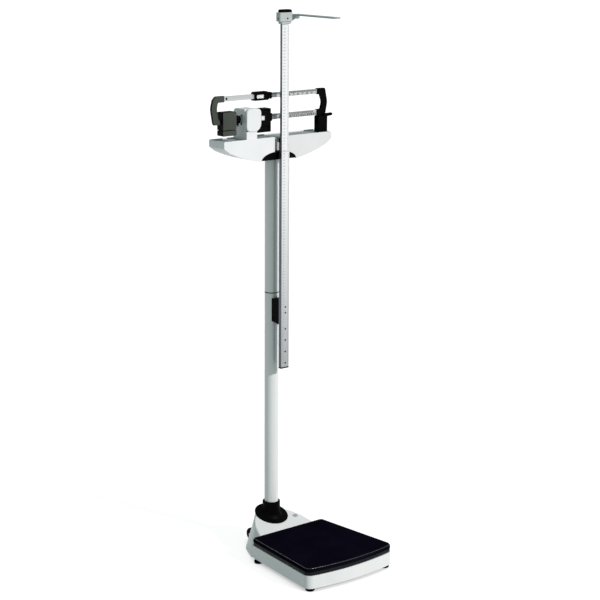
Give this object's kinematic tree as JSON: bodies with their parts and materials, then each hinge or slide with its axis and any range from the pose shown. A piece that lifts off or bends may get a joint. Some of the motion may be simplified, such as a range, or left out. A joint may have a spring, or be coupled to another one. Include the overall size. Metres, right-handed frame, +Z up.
{
  "type": "physician beam scale",
  "caption": "Upright mechanical person scale: weighing platform on a lever base, round column, two-beam balance head with sliding poises and a telescopic height rod with fold-up head arm.",
  "frame": {"origin": "middle of the bounding box's footprint, at the floor under the feet", "axes": "+Z up along the column; the person steps on from -Y and the column stands towards +Y; +X to the right of someone facing the beams from the platform, the way the poises travel"},
  "size_m": [0.4922, 0.5196, 1.8235],
  "materials": {
    "frame_iron": "matte",
    "housing_white": "satin",
    "tube_white": "satin",
    "black_plastic": "satin",
    "mat_rubber": "matte",
    "platform_steel": "satin",
    "bare_steel": "satin",
    "dark_iron": "satin",
    "dark_plastic": "satin",
    "beam_aluminium": "satin",
    "rod_aluminium": "satin",
    "grey_plastic": "satin",
    "poise_iron": "satin",
    "lens": "gloss"
  },
  "bodies": {
    "frame": {"base_frame": "frame_iron", "base_housing": "housing_white", "castor_axle": "bare_steel", "level_body": "grey_plastic", "level_vial": "lens", "column_socket": "frame_iron", "column_boot": "black_plastic", "column_lower": "tube_white", "column_ring": "black_plastic", "column_upper": "tube_white", "column_sleeve": "bare_steel", "rod_bracket_mid": "black_plastic", "rod_bracket_top": "black_plastic", "rod_outer": "rod_aluminium", "rod_plug": "black_plastic", "head_frame": "frame_iron", "head_wing_left": "housing_white", "head_wing_right": "housing_white", "head_back_cover": "housing_white", "head_arch": "black_plastic", "head_tray": "grey_plastic", "transfer_pin": "bare_steel", "pillar_body": "housing_white", "pillar_cap": "housing_white", "pivot_bearing": "bare_steel", "stop_bracket": "black_plastic"},
    "beam": {"pivot_knife": "bare_steel", "beam_lower": "beam_aluminium", "beam_upper": "beam_aluminium", "beam_end_left": "dark_plastic", "beam_end_right": "black_plastic", "counterweight": "dark_iron"},
    "small_poise": {"poise_small": "black_plastic", "poise_small_lens": "lens"},
    "large_poise": {"poise_large": "poise_iron", "poise_large_lens": "lens"},
    "zero_weight": {"zero_weight": "dark_iron"},
    "transfer_lever": {"transfer_lever": "bare_steel", "beam_link": "bare_steel"},
    "pull_rod": {"pull_rod": "bare_steel"},
    "main_lever": {"main_lever": "bare_steel"},
    "short_lever": {"short_lever": "bare_steel"},
    "platform": {"platform_plate": "platform_steel", "platform_mat": "mat_rubber"},
    "lock_lever": {"lock_lever": "black_plastic"},
    "inner_rod": {"rod_inner": "rod_aluminium", "head_slide": "grey_plastic", "slide_cap": "black_plastic", "arm_pin": "bare_steel"},
    "head_arm": {"head_arm": "grey_plastic"},
    "castor_left": {"castor_left": "black_plastic"},
    "castor_right": {"castor_right": "black_plastic"},
    "foot_front_left": {"foot_front_left": "mat_rubber"},
    "foot_front_right": {"foot_front_right": "mat_rubber"},
    "foot_rear_left": {"foot_rear_left": "mat_rubber"},
    "foot_rear_right": {"foot_rear_right": "mat_rubber"}
  },
  "joints": [
    {"name": "beam_tilt", "type": "hinge", "parent": "frame", "child": "beam", "pos_m": [-0.10201, 0.16175, 1.476], "axis": [0, 1, 0], "range_deg": [-2.5, 2.5]},
    {"name": "small_poise_slide", "type": "slide", "parent": "beam", "child": "small_poise", "axis": [1, 0, 0], "range_m": [0, 0.188]},
    {"name": "large_poise_slide", "type": "slide", "parent": "beam", "child": "large_poise", "axis": [1, 0, 0], "range_m": [0, 0.176]},
    {"name": "zero_weight_slide", "type": "slide", "parent": "beam", "child": "zero_weight", "axis": [1, 0, 0], "range_m": [-0.006, 0.006]},
    {"name": "transfer_lever_tilt", "type": "hinge", "parent": "frame", "child": "transfer_lever", "pos_m": [0.09399, 0.18075, 1.395], "axis": [0, 1, 0], "range_deg": [-0.18877, 0.18877]},
    {"name": "pull_rod_lift", "type": "slide", "parent": "frame", "child": "pull_rod", "axis": [0, 0, 1], "range_m": [-0.00026358, 0.00026358]},
    {"name": "main_lever_tilt", "type": "hinge", "parent": "frame", "child": "main_lever", "pos_m": [0.01399, -0.21725, 0.034], "axis": [1, 0, 0], "range_deg": [-0.037944, 0.037944]},
    {"name": "short_lever_tilt", "type": "hinge", "parent": "frame", "child": "short_lever", "pos_m": [0.01399, 0.07475, 0.044], "axis": [1, 0, 0], "range_deg": [-0.037944, 0.037944]},
    {"name": "platform_lift", "type": "slide", "parent": "frame", "child": "platform", "axis": [0, 0, 1], "range_m": [-0.000029801, 0.000029801]},
    {"name": "lock_lever_turn", "type": "hinge", "parent": "frame", "child": "lock_lever", "pos_m": [0.20999, 0.15075, 1.46], "axis": [0, 1, 0], "range_deg": [0, 30]},
    {"name": "height_slide", "type": "slide", "parent": "frame", "child": "inner_rod", "axis": [0, 0, 1], "range_m": [-0.403, 0.27]},
    {"name": "arm_fold", "type": "hinge", "parent": "inner_rod", "child": "head_arm", "pos_m": [0.05399, 0.11475, 1.8], "axis": [-1, 0, 0], "range_deg": [0, 90]},
    {"name": "castor_left_spin", "type": "hinge", "parent": "frame", "child": "castor_left", "pos_m": [-0.02701, 0.23775, 0.025], "axis": [1, 0, 0], "continuous": true},
    {"name": "castor_right_spin", "type": "hinge", "parent": "frame", "child": "castor_right", "pos_m": [0.05499, 0.23775, 0.025], "axis": [1, 0, 0], "continuous": true},
    {"name": "foot_front_left_screw", "type": "slide", "parent": "frame", "child": "foot_front_left", "axis": [0, 0, -1], "range_m": [0, 0.006]},
    {"name": "foot_front_right_screw", "type": "slide", "parent": "frame", "child": "foot_front_right", "axis": [0, 0, -1], "range_m": [0, 0.006]},
    {"name": "foot_rear_left_screw", "type": "slide", "parent": "frame", "child": "foot_rear_left", "axis": [0, 0, -1], "range_m": [0, 0.006]},
    {"name": "foot_rear_right_screw", "type": "slide", "parent": "frame", "child": "foot_rear_right", "axis": [0, 0, -1], "range_m": [0, 0.006]}
  ],
  "couplings": [
    {"joint": "transfer_lever_tilt", "follows": "beam_tilt", "ratio": 0.075472},
    {"joint": "pull_rod_lift", "follows": "beam_tilt", "m_per_rad": 0.0060377},
    {"joint": "main_lever_tilt", "follows": "beam_tilt", "ratio": 0.01517},
    {"joint": "short_lever_tilt", "follows": "beam_tilt", "ratio": -0.01517},
    {"joint": "platform_lift", "follows": "beam_tilt", "m_per_rad": 0.00068266}
  ]
}
